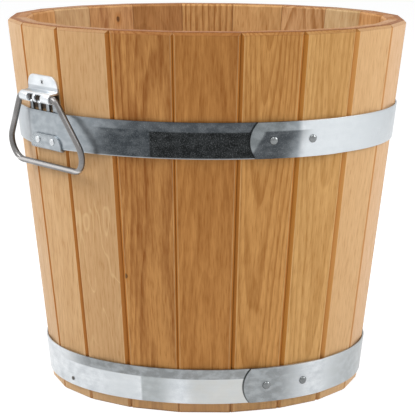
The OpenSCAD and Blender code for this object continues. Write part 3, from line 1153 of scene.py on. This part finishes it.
@dataclass
class Hoop:
    """One lapped strip: over itself at the visible end, and over the straps it crosses.

    Its stations are angles in degrees and offsets from the circle over the stave corners.
    """

    name: str
    node: str
    z: float
    lap: float
    finish: Galvanised
    straps: bool = False
    easing: float = 0.35
    step: float = 3.0
    gap: float = 0.02
    rows: int = 11
    lap_steps: int = 8
    end_l: float = 8.5
    hidden_turn: float = 2.0
    bulge_clearance: float = 0.6
    fall_shares: tuple[float, ...] = (0.15, 0.4, 0.7, 1.0)
    fall_power: float = 1.6
    flank_shares: tuple[float, ...] = (1.0, 0.75, 0.5, 0.25, 0.08)
    flat_shares: tuple[float, ...] = (0.94, 0.7, 0.35, 0.0)

    @property
    def saddles(self) -> tuple[float, ...]:
        """The middle angles of the bulges over the straps."""
        return (FULL_TURN, FULL_TURN * 1.5) if self.straps else ()

    @property
    def mid_z(self) -> float:
        """Height of the strip's middle."""
        return self.z + FORM.hoop_w / 2

    @property
    def mid_r(self) -> float:
        """Radius of the strip's inner side at its middle."""
        return FORM.corner_r(self.mid_z)

    def build(self) -> None:
        """Models the strip from its visible end round to its hidden end."""
        middle = (0.0, 0.0, self.mid_z)
        bench = Bench(
            self.name,
            bpy.ops.mesh.primitive_plane_add,
            size=FORM.hoop_w * MM,
            rotation=(math.pi / 2, 0, 0),
            location=metres(middle),
        )
        # Of the plane only one upright edge stays, which goes to the axis and then leans
        bench.pick(lambda p: p.x > 0)
        bpy.ops.mesh.delete(type="VERT")
        bench.pick_all()
        bench.stretch(0, 1, 1, middle)
        bpy.ops.mesh.subdivide(number_cuts=self.rows - 1)
        bench.pick_all()
        bench.turn(math.degrees(FORM.corner_tilt), "Y", middle)
        bench.stretch(1, 1, 1 / math.cos(FORM.corner_tilt), middle)
        bench.move(self.mid_r, 0, 0)
        here = out = 0.0
        for number, (angle, offset) in enumerate(self._stations()):
            if number:
                bench.pull()
            bench.turn(angle - here, "Z")
            push, way = offset - out, math.radians(angle)
            bench.move(push * math.cos(way), push * math.sin(way), 0)
            here, out = angle, offset
        self._round_end(bench)
        piece = bench.close()
        self._face_out(piece)
        thick = {"thickness": FORM.hoop_t * MM, "offset": 1.0, "use_even_offset": True}
        modify(piece, "SOLIDIFY", **thick)
        ease(piece, self.easing, SMOOTH_ANGLE)
        deliver(piece, self.node, self.finish.material())

    @staticmethod
    def _face_out(piece: bpy.types.Object) -> None:
        """Turns the strip's faces away from the tub's axis.

        Args:
            piece: the strip.
        """
        face = piece.data.polygons[len(piece.data.polygons) // 2]
        if face.normal.dot(Vector((face.center.x, face.center.y, 0))) < 0:
            piece.data.flip_normals()

    def _stations(self) -> list[Pair]:
        """The strip's stations from the visible end round.

        Returns:
            Their angles and offsets.
        """
        over = FORM.hoop_t + self.gap
        lap = FORM.hoop_turn(self.z, FORM.lap_l)
        end = self.lap + lap
        stations = [(self.lap, over), (self.lap + FORM.hoop_turn(self.z, self.end_l), over)]
        for i in range(self.lap_steps):
            stations.append((self.lap + lap * (i + 1) / self.lap_steps, over))
        under = (self.mid_r + FORM.hoop_t) / (self.mid_r + 2 * FORM.hoop_t)
        fall = math.degrees(math.acos(under))
        for share in self.fall_shares:
            stations.append((end + fall * share, over * (1 - share) ** self.fall_power))
        last = self.lap + FULL_TURN + lap - self.hidden_turn
        here, reach = end + fall, self._bulge()[1] + self.bulge_clearance
        while here + self.step < last:
            here += self.step
            if all(abs(here - middle) >= reach for middle in self.saddles):
                stations.append((here, 0.0))
        return sorted({*stations, *self._saddle_stations(), (last, 0.0)})

    def _bulge(self) -> Point:
        """Where a strap's bulge has its flat's end, its flank's end and its distance out.

        Returns:
            Both angles from its middle and the distance of the flat from the axis.
        """
        far = FORM.face_r(self.mid_z) + FORM.hoop_out / math.cos(FORM.tilt)
        half = FORM.strap_w / 2 + FORM.hoop_t * 0.75
        flat_end = math.degrees(math.atan(half / far))
        flank_end = flat_end + math.degrees(math.acos(self.mid_r / math.hypot(half, far)))
        return flat_end, flank_end, far

    def _saddle_stations(self) -> list[Pair]:
        """The stations of the bulges over the straps.

        Returns:
            Their angles and offsets.
        """
        flat_end, flank_end, far = self._bulge()
        offs = [flat_end + share * (flank_end - flat_end) for share in self.flank_shares]
        offs += [flat_end * share for share in self.flat_shares]
        stations = []
        for off in offs:
            radius, turn = (self.mid_r, flank_end - off) if off > flat_end else (far, off)
            out = radius / math.cos(math.radians(turn)) - self.mid_r
            stations += [(middle + side * off, out) for middle in self.saddles for side in (-1, 1)]
        return stations

    def _round_end(self, bench: Bench) -> None:
        """Draws the visible end's corners back to its arc.

        Args:
            bench: the strip.
        """
        spacing = FORM.hoop_w / self.rows
        end = math.radians(self.lap)
        way = Vector((math.cos(end), math.sin(end), 0))

        def at_end(place: Vector, up: float) -> bool:
            """Whether a place is in a row of the lapped end.

            Args:
                place: the place in millimetres.
                up: the row's height over the strip's middle.

            Returns:
                Whether it is.
            """
            flat = Vector((place.x, place.y, 0))
            outer = flat.length > FORM.corner_r(place.z) + FORM.hoop_t / 2
            in_row = abs(place.z - self.mid_z - up) < spacing / 4
            return outer and in_row and flat.normalized().dot(way) > SAME_WAY

        for row in range(self.rows + 1):
            up = (row - self.rows / 2) * spacing
            back = FORM.lap_end_r - math.sqrt(FORM.lap_end_r**2 - up**2)
            if back > NEAR:
                bench.pick(lambda p, up=up: at_end(p, up))
                bench.turn(FORM.hoop_turn(self.z, back), "Z")


# Outlines of the fasteners from back to front: shares of the head's radius, and heights in
# millimetres over the side that each part sits on
LAP_RIVET_BACK = ((0.5, -0.9), (0.8, -0.8), (0.8, -0.1), (0.6, -0.1))
LAP_RIVET_DOME = (
    (0.6, 0.0), (0.97, 0.0), (1.0, 0.25), (0.95, 0.8),
    (0.82, 1.35), (0.62, 1.85), (0.38, 2.22), (0.14, 2.38),
)
STRAP_RIVET_BACK = ((0.8, -0.9), (1.0, -0.8), (1.0, -0.1), (0.6, -0.1))
STRAP_RIVET_HEAD = (
    (0.6, 0.0), (1.0, 0.0), (1.0, 0.35), (0.9, 0.8),
    (0.72, 0.9), (0.5, 0.7), (0.38, 0.25), (0.12, 0.1),
)
NAIL_POINT = ((0.06, 0.0), (0.5, 2.0))
NAIL_HEAD = ((0.5, 0.1), (1.0, 0.1), (1.0, 0.4), (0.86, 0.8), (0.5, 1.15), (0.12, 1.3))


class Turned:
    """A small fastener that is turned about +Z."""

    def __init__(self, radius: float, *parts: tuple[tuple[Pair, ...], float], sides: int) -> None:
        """Extrudes and scales a disc along the outline.

        Args:
            radius: the head's radius.
            parts: outlines, each with the height of the side that it sits on.
            sides: how many sides the disc has.
        """
        outline = [(share * radius, base + up) for part, base in parts for share, up in part]
        r, height = outline[0]
        bench = Bench(
            "fastener_model",
            bpy.ops.mesh.primitive_circle_add,
            vertices=sides,
            radius=r * MM,
            fill_type="NGON",
            location=metres((0, 0, height)),
        )
        bench.pick_all()
        for next_r, next_height in outline[1:]:
            bench.pull(z=next_height - height)
            bench.stretch(next_r / r, next_r / r, 1, (0, 0, next_height))
            r, height = next_r, next_height
        self.piece = bench.close()
        smooth(self.piece)

    def set_at(self, name: str, places: list[Matrix]) -> bpy.types.Object:
        """Sets copies along each place's +X and joins them under a name."""
        out = Matrix.Rotation(math.pi / 2, 4, "Y")
        return joined(name, [placed_copy(self.piece, name, place @ out) for place in places])

    def discard(self) -> None:
        """Takes the model out of the file."""
        bpy.data.objects.remove(self.piece)


@dataclass
class Fasteners:
    """Lap rivets, strap rivets and hoop nails."""

    domed: Steel
    dimpled: Steel
    dull: Steel
    rivet_r: float = 4.0
    strap_rivet_r: float = 3.5
    rivet_sides: int = 24
    nail_r: float = 2.0
    nail_l: float = 16.0
    nail_rise: float = 7.0
    nail_sides: int = 16

    def build(self, hoops: tuple[Hoop, ...]) -> None:
        """Models and sets them all.

        Args:
            hoops: the hoops whose laps are riveted.
        """
        self._lap_rivets(hoops, self.domed.material())
        self._strap_rivets(self.dimpled.material())
        self._nails(self.dull.material())

    def _lap_rivets(self, hoops: tuple[Hoop, ...], finish: bpy.types.Material) -> None:
        """Domed rivets through both layers of each lap.

        Args:
            hoops: the hoops whose laps are riveted.
            finish: their material.
        """
        parts = (LAP_RIVET_BACK, 0.0), (LAP_RIVET_DOME, 2 * FORM.hoop_t)
        model = Turned(self.rivet_r, *parts, sides=self.rivet_sides)
        lean = Matrix.Rotation(FORM.corner_tilt, 4, "Y")
        for hoop in hoops:
            places = []
            for along in (FORM.rivet_inset, FORM.rivet_inset + FORM.rivet_pitch):
                angle = math.radians(hoop.lap + FORM.hoop_turn(hoop.z, along))
                spot = Matrix.Translation((hoop.mid_r, 0, hoop.mid_z))
                places.append(Matrix.Rotation(angle, 4, "Z") @ spot @ lean)
            node = f"{hoop.node}_rivets"
            deliver(model.set_at(f"domed_{node}", places), node, finish)
        model.discard()

    def _strap_rivets(self, finish: bpy.types.Material) -> None:
        """Rivets with a raised rim round a dimple, through flap, hoop and strap.

        Args:
            finish: their material.
        """
        seat = 2 * FORM.strap_t + FORM.hoop_t + 3 * FORM.fit
        parts = (STRAP_RIVET_BACK, 0.0), (STRAP_RIVET_HEAD, seat)
        model = Turned(self.strap_rivet_r, *parts, sides=self.rivet_sides)
        up = FORM.fold_up + FORM.rivet_rise
        spots = [Matrix.Translation((0, side * FORM.rivet_spacing / 2, up)) for side in (-1, 1)]
        for side, angle in SIDES:
            node = f"{side}_strap_rivets"
            places = [FORM.on_face(angle) @ spot for spot in spots]
            deliver(model.set_at(f"dimpled_{node}", places), node, finish)
        model.discard()

    def _nails(self, finish: bpy.types.Material) -> None:
        """Small nails through the lower hoop into the staves at the sides.

        Args:
            finish: their material.
        """
        z = FORM.lower_z + self.nail_rise
        seat = (FORM.corner_r(z) - FORM.face_r(z)) * math.cos(FORM.tilt) + FORM.hoop_t
        parts = (NAIL_POINT, seat - self.nail_l), (NAIL_HEAD, seat)
        model = Turned(self.nail_r, *parts, sides=self.nail_sides)
        spot = Matrix.Translation((0, 0, FORM.up_at(z, 0)))
        places = [FORM.on_face(angle) @ spot for _, angle in SIDES]
        deliver(model.set_at("flat_hoop_nails", places), "hoop_nails", finish)
        model.discard()


@dataclass
class Handle:
    """A folded strap and the wire drop handle that turns in it."""

    side: str
    angle: float
    wire: Steel
    wire_r: float = 3.0
    width: float = 128.0
    corner_bend: float = 17.0
    corner_steps: int = 12
    pivot_bend: float = 8.0
    pivot_steps: int = 6
    leg_angle: float = 35.5
    pin_l: float = 15.5
    pin_bevel: float = 0.5
    pin_end_share: float = 0.8
    sides: int = 20
    strap_easing: float = 0.25

    def build(self, sheet: bpy.types.Material, bright: bpy.types.Material) -> None:
        """Models the wire and eases the strap.

        Args:
            sheet: the strap's finish.
            bright: the screw's finish.
        """
        node = f"{self.side}_handle_strap"
        deliver(eased_node(node, self.strap_easing), node, sheet)
        dress(f"{self.side}_strap_screw", bright)
        model = self._bent_wire()
        pivot = Matrix.Translation((FORM.pivot_out, 0, FORM.pivot_up))
        lean = Matrix.Rotation(math.radians(FORM.wire_lean), 4, "Y")
        upright = Matrix.Rotation(math.pi / 2, 4, "Z") @ Matrix.Rotation(math.pi / 2, 4, "X")
        place = FORM.on_face(self.angle) @ pivot @ lean @ upright
        piece = placed_copy(model, f"{self.side}_bent_wire", place)
        bpy.data.objects.remove(model)
        node = f"{self.side}_bail"
        deliver(piece, node, self.wire.material(), node)

    def _bent_wire(self) -> bpy.types.Object:
        """Bends the wire flat: X along the pivot axis, Y up.

        Returns:
            The wire.
        """
        leg = math.radians(self.leg_angle)
        corner_x = self.width / 2 - self.corner_bend
        corner_y = FORM.wire_drop - self.corner_bend
        foot_x = corner_x - corner_y * math.tan(leg) + self.corner_bend / math.cos(leg)
        bend_x = foot_x - self.pivot_bend * math.tan((math.pi / 2 - leg) / 2)
        across, down = corner_x - bend_x, corner_y - self.pivot_bend
        leg_l = across * math.sin(leg) + down * math.cos(leg)
        leg_x, leg_y = leg_l * math.sin(leg), leg_l * math.cos(leg)
        end = FORM.strap_w / 2 - self.pin_l + self.pin_bevel
        bench = Bench(
            "wire_model",
            bpy.ops.mesh.primitive_circle_add,
            vertices=self.sides,
            radius=self.wire_r * MM,
            fill_type="NOTHING",
            location=metres((end, 0, 0)),
            rotation=(0, math.pi / 2, 0),
        )
        bench.pick_all()
        pivot = (self.pivot_steps, self.leg_angle - 90.0)
        corner = (self.corner_steps, -90.0 - self.leg_angle)
        bench.pull(bend_x - end, 0, 0)
        bench.swing(*pivot, (bend_x, -self.pivot_bend, 0))
        bench.pull(leg_x, -leg_y, 0)
        bench.swing(*corner, (corner_x, -corner_y, 0))
        bench.pull(-2 * corner_x, 0, 0)
        bench.swing(*corner, (-corner_x, -corner_y, 0))
        bench.pull(leg_x, leg_y, 0)
        bench.swing(*pivot, (-bend_x, -self.pivot_bend, 0))
        bench.pull(bend_x - end, 0, 0)
        for x, out in ((end, -self.pin_bevel), (-end, self.pin_bevel)):
            bench.pick(lambda p, x=x: abs(p.x - x) < NEAR and p.y > -self.wire_r - NEAR)
            bench.pull(out, 0, 0)
            bench.stretch(1, self.pin_end_share, self.pin_end_share, (x + out, 0, 0))
            bpy.ops.mesh.edge_face_add()
        piece = bench.close()
        smooth(piece)
        return piece


@dataclass
class Bottom:
    """The boards that are let into the staves' groove, and their dowels."""

    oak: Oak
    boards: int = 5
    easing: float = 0.5

    def build(self) -> None:
        """Eases and dresses the boards."""
        for number in range(1, self.boards + 1):
            node = f"bottom_board_{number}"
            finish = replace(self.oak, name=f"oak_{node}", seed=self.oak.seed + 3.0 * number)
            deliver(eased_node(node, self.easing), node, finish.material())
        dress("bottom_dowels", replace(self.oak, name="oak_dowels").material())


@dataclass(frozen=True)
class Lamp:
    """A square lamp that faces the tub: its angles in degrees, metres and watts."""

    name: str
    around: float
    above: float
    away: float
    side: float
    power: float
    aim_z: float = 0.18

    def hang(self) -> None:
        """Hangs the lamp."""
        data = bpy.data.lights.new(self.name, "AREA")
        data.shape, data.size, data.energy = "SQUARE", self.side, self.power
        lamp = bpy.data.objects.new(self.name, data)
        bpy.context.scene.collection.objects.link(lamp)
        turn, rise = math.radians(self.around), math.radians(self.above)
        level = math.cos(rise)
        out = Vector((math.cos(turn) * level, math.sin(turn) * level, math.sin(rise)))
        lamp.location = out * self.away + Vector((0, 0, self.aim_z))
        lamp.rotation_euler = out.to_track_quat("Z", "Y").to_euler()


LAMPS = (
    Lamp("key", 150.0, 42.0, 2.6, 1.5, 44.0),
    Lamp("fill", 318.0, 28.0, 2.8, 1.6, 36.0),
    Lamp("front", 236.0, 62.0, 2.4, 1.4, 15.0),
    Lamp("top", 60.0, 80.0, 2.2, 1.2, 9.0),
)
WHITE = (1.0, 1.0, 1.0, 1.0)
PAPER = (0.78, 0.78, 0.78, 1.0)
PALE_PAPER = (0.3, 0.3, 0.3, 1.0)
ROOM = (0.96, 0.98, 1.0, 1.0)


@dataclass
class Studio:
    """Floor, lamps and camera. Sizes are in millimetres, and the floor's in metres."""

    distance: float = 1854.3
    height: float = 506.6
    around: float = 234.1
    focal_px: float = 1841.0
    middle_px: Pair = (205.92, 205.67)
    pitch: float = 10.184
    roll: float = 0.35
    sensor: float = 36.0
    clip: Pair = (0.1, 100.0)
    floor_r: float = 9.0
    floor_sides: int = 64
    floor_glow: float = 0.86
    room_glow: float = 0.4

    def build(self) -> None:
        """Builds all three."""
        self.place_camera()
        self.lay_floor()
        self.light_room()
        for lamp in LAMPS:
            lamp.hang()
        bpy.context.scene.view_settings.view_transform = "Standard"

    def place_camera(self) -> None:
        """Puts the camera where the photograph was taken."""
        data = bpy.data.cameras.new("camera")
        data.sensor_width = self.sensor
        data.lens = self.focal_px / PICTURE_SIDE * data.sensor_width
        data.shift_x = (PICTURE_SIDE / 2 - self.middle_px[0]) / PICTURE_SIDE
        data.shift_y = (self.middle_px[1] - PICTURE_SIDE / 2) / PICTURE_SIDE
        data.clip_start, data.clip_end = self.clip
        camera = bpy.data.objects.new("camera", data)
        bpy.context.scene.collection.objects.link(camera)
        angle = math.radians(self.around)
        level = Vector((math.cos(angle), math.sin(angle), 0)) * self.distance
        camera.location = (level + Vector((0, 0, self.height))) * MM
        heading = Matrix.Rotation(angle + math.pi / 2, 4, "Z")
        turn = heading @ Matrix.Rotation(math.radians(90.0 - self.pitch), 4, "X")
        turn = turn @ Matrix.Rotation(math.radians(self.roll), 4, "Z")
        camera.rotation_euler = turn.to_euler()
        bpy.context.scene.camera = camera

    @staticmethod
    def _seen(graph: Graph) -> Wire:
        """1 where a ray comes from the camera, from gloss or through glass.

        Args:
            graph: the material's or the world's graph.

        Returns:
            The value.
        """
        path = graph.add("ShaderNodeLightPath", {}, {})
        names = ("Is Camera Ray", "Is Glossy Ray", "Is Transmission Ray")
        camera, glossy, through = (Wire(graph, path.outputs[name]) for name in names)
        return (camera + glossy + through).clamped()

    def lay_floor(self) -> None:
        """Lays a pale floor that looks white and keeps the shadow."""
        sizes = {"vertices": self.floor_sides, "radius": self.floor_r, "fill_type": "NGON"}
        floor = Bench("floor", bpy.ops.mesh.primitive_circle_add, **sizes).close()
        material, graph = new_material("floor_paper")
        paper = graph.node("ShaderNodeBsdfDiffuse", {}, {"Color": PAPER})
        pale = graph.node("ShaderNodeBsdfDiffuse", {}, {"Color": PALE_PAPER})
        glow = graph.node("ShaderNodeEmission", {}, {"Color": WHITE, "Strength": self.floor_glow})
        shown = graph.node("ShaderNodeAddShader", {}, {0: pale, 1: glow})
        surface = graph.node("ShaderNodeMixShader", {}, {0: self._seen(graph), 1: paper, 2: shown})
        graph.add("ShaderNodeOutputMaterial", {}, {"Surface": surface})
        floor.data.materials.append(material)

    def light_room(self) -> None:
        """Lights the room round the tub, and shows it white."""
        world = bpy.data.worlds.new("room")
        bpy.context.scene.world = world
        world.use_nodes = True
        graph = Graph(world.node_tree)
        room = graph.node("ShaderNodeBackground", {}, {"Color": ROOM, "Strength": self.room_glow})
        white = graph.node("ShaderNodeBackground", {}, {"Color": WHITE, "Strength": 1.0})
        surface = graph.node("ShaderNodeMixShader", {}, {0: self._seen(graph), 1: room, 2: white})
        graph.add("ShaderNodeOutputWorld", {}, {"Surface": surface})


# Joints that stand open more or less than the plain ones, by their angle
STAVE_JOINTS = {
    171: (2.0, 2.0),
    189: (2.3, 2.3),
    207: (2.9, 2.6),
    225: (1.0, 1.2),
    243: (1.5, 2.8),
    261: (2.6, 3.0),
    279: (3.4, 3.4),
    297: (2.0, 2.0),
}

# The boards that the photograph shows, by their stave
FLAT_SAWN = Oak(figure=Figure.CATHEDRAL)
PALE = Oak(pith=(70.0, 60.0), streak=0.3, bold=0.6)
STAVE_BOARDS = {
    1: Oak(light="caac82", dark="ab8758", pith=(70.0, 60.0)),
    2: replace(FLAT_SAWN, light="ca9e6f", dark="9f6f40", pith=(30.0, 6.0), lean=(0.0, 0.0),
               ring=6.0, bold=1.5),
    3: Oak(light="d2a56f", dark="ab7a45", pith=(70.0, 20.0)),
    4: replace(FLAT_SAWN, light="d0a068", dark="9d6b39", pith=(30.0, -4.0), lean=(-0.16, 0.0),
               ring=6.0, bold=1.5),
    5: Oak(light="b68452", dark="8b5a2e", pith=(60.0, 14.0), streak=1.2),
    6: Oak(light="d3a36e", dark="a16d43", pith=(60.0, -20.0), streak=1.2,
           knots=((-8.0, 352.0, 2.6),)),
    7: Oak(light="d1af83", dark="b0885c", pith=(70.0, 30.0)),
    10: Oak(light="d9b790", dark="be956a", pith=(70.0, 60.0), streak=0.7),
    11: Oak(light="d6af81", dark="bb9162", pith=(70.0, 60.0), streak=0.7),
    12: Oak(light="cfa679", dark="b88e5e", figure=Figure.FLECKED, pith=(20.0, 90.0), streak=0.5),
    13: replace(FLAT_SAWN, light="c68f53", dark="8f5727", pith=(40.0, 12.0), lean=(-0.1, 0.03),
                ring=4.0, streak=1.1, bold=0.8, fade=0.4, knots=((-23.0, 133.5, 2.0),)),
    14: replace(FLAT_SAWN, light="c68c4e", dark="9b622d", pith=(46.0, 4.0), lean=(-0.08, 0.02),
                ring=4.0, streak=0.9, bold=0.5, fade=0.3),
    15: replace(FLAT_SAWN, light="d39c5c", dark="a97239", pith=(24.0, -4.0), lean=(-0.17, 0.0),
                ring=3.6, streak=0.8, fade=0.2),
    16: replace(FLAT_SAWN, light="d8a86b", dark="b58449", pith=(30.0, 6.0), lean=(-0.16, 0.0),
                ring=3.6, streak=0.7, bold=0.8, fade=0.2, flank_tone="c38338"),
    17: replace(PALE, light="e2b987", dark="c89b6a", flank_tone="d29752"),
    18: replace(PALE, light="e5be96", dark="cda274", pith=(70.0, -60.0), flank_tone="d29a62"),
}

# Where the sheet is painted darker or lighter, in degrees from +X and millimetres above the floor:
# # partly the zinc's own duller tone and partly a painted reflection of the room
UNDER, OVER = Layer.UNDER, Layer.OVER
UPPER_PATCHES = (
    Patch(130.0, 176.0, 248.0, 290.0, "aab0b5", 0.85, soft=20.0, fade=4.0),
    Patch(170.0, 262.0, 248.0, 290.0, "848c92", 0.85, soft=4.0, fade=2.0),
    Patch(262.0, 340.0, 248.0, 290.0, "ced3d6", 0.8, fade=30.0),
    Patch(270.0, 350.0, 248.0, 290.0, "a2a8ac", 0.7, soft=42.0, fade=10.0),
    Patch(187.0, 258.0, 248.0, 290.0, "383c40", 0.95, soft=30.0, cloudy=0.07, layer=UNDER),
    Patch(198.0, 211.8, 248.0, 277.0, "31363a", 0.9, soft=8.0, fade=0.6, cloudy=0.07),
    Patch(210.9, 218.4, 248.0, 277.0, "2b3034", 0.9, striped=0.25, fade=0.6, cloudy=0.06),
    Patch(217.8, 258.0, 248.0, 276.0, "131515", 0.97, soft=0.6, cloudy=0.02, layer=UNDER),
    # Painted highlight: a thin light line along the upper hoop's lower edge
    Patch(180.0, 250.0, 248.6, 251.4, "d2d7da", 0.5, soft=6.0, cloudy=0.0),
    # Painted shadow: a thin dark line along the upper lapped end's arc, on the layer under it
    Patch(245.7, 247.0, 248.0, 290.0, "17191a", 0.85, soft=0.2, cloudy=0.0, layer=UNDER,
          arc_z=FORM.upper_z),
    Patch(245.0, 264.0, 248.0, 290.0, "636869", 0.85, fade=10.0, cloudy=0.15, layer=OVER),
    Patch(245.4, 262.0, 248.0, 276.5, "34383c", 0.9, fade=9.0, slant=-0.17, cloudy=0.07,
          layer=OVER),
)
LOWER_PATCHES = (
    Patch(275.0, 340.0, 8.0, 46.0, "b9bec0", 0.8, soft=12.0, fade=20.0),
    Patch(276.0, 350.0, 8.0, 46.0, "8d9294", 0.7, soft=24.0, fade=10.0),
    Patch(170.0, 258.0, 34.0, 48.0, "656868", 0.85, soft=24.0, layer=UNDER),
    Patch(222.0, 258.0, 34.0, 48.0, "868888", 0.7, soft=8.0, layer=UNDER),
    Patch(194.0, 214.0, 8.0, 35.0, "bcc1c4", 0.6, soft=8.0, fade=6.0),
    Patch(226.0, 258.0, 8.0, 35.0, "b4b4af", 0.7, soft=6.0, layer=UNDER),
    Patch(211.5, 226.0, 8.0, 36.0, "848989", 0.75, fade=9.0),
    # Painted shadow: a thin dark line along the lower lapped end's arc, on the layer under it
    Patch(246.7, 248.0, 8.0, 48.0, "2c2f30", 0.85, soft=0.2, cloudy=0.0, layer=UNDER,
          arc_z=FORM.lower_z),
    Patch(246.0, 274.0, 8.0, 48.0, "6c7071", 0.85, fade=16.0, layer=OVER),
)
# Painted shade and reflection on the straps: darker over the flap, darker on the fingers under the
# roll, and a grey band at the tab's fold
STRAP_PATCHES = (
    Patch(-20.0, 380.0, 240.0, 267.0, "8d9499", 0.9),
    Patch(-20.0, 380.0, 283.0, 293.0, "7f8589", 0.95),
    Patch(-20.0, 380.0, 302.5, 309.0, "9aa1a7", 0.55),
)

# The angle of each hoop's visible end
UPPER_LAP, LOWER_LAP = 246.2, 247.2

UPPER_ZINC = Galvanised("zinc_upper", patches=UPPER_PATCHES)
LOWER_ZINC = Galvanised("zinc_lower", patches=LOWER_PATCHES)
STRAP_ZINC = Galvanised("zinc_strap", "eef1f4", "ccd2d6", rough=0.3, patches=STRAP_PATCHES)
DOMED_STEEL = Steel("rivet_steel", "8b8e8f", "606364", rough=0.16)
DIMPLED_STEEL = Steel("dimpled_rivet_steel", "dfe2e4", "b9bdc0", rough=0.24)
# Nail steel is dark: the nails' darker steel together with painted shade round their heads
NAIL_STEEL = Steel("nail_steel", "6a6763", "3f3c39")
SCREW_STEEL = SlottedSteel("screw_steel", "e4e7e9", "c5c9cc")
WIRE_STEEL = DrawnSteel("wire_steel", "949291", "565453", metal=0.8)
BOTTOM_OAK = Oak(light="c79561", dark="9c6a3a", seed=71.0)


def main() -> None:
    """Builds the scene in order."""
    logging.basicConfig(level=logging.INFO)
    Studio().build()
    TubWall(STAVE_BOARDS, STAVE_JOINTS).build()
    Bottom(BOTTOM_OAK).build()
    upper = Hoop("upper_hoop_strip", "upper_hoop", FORM.upper_z, UPPER_LAP, UPPER_ZINC, True)
    lower = Hoop("lower_hoop_strip", "lower_hoop", FORM.lower_z, LOWER_LAP, LOWER_ZINC)
    upper.build()
    lower.build()
    Fasteners(DOMED_STEEL, DIMPLED_STEEL, NAIL_STEEL).build((upper, lower))
    sheet, screw = STRAP_ZINC.material(), SCREW_STEEL.material()
    for side, angle in SIDES:
        wire = replace(WIRE_STEEL, name=f"{side}_wire_steel")
        Handle(side, angle, wire).build(sheet, screw)


if __name__ == "__main__":
    main()
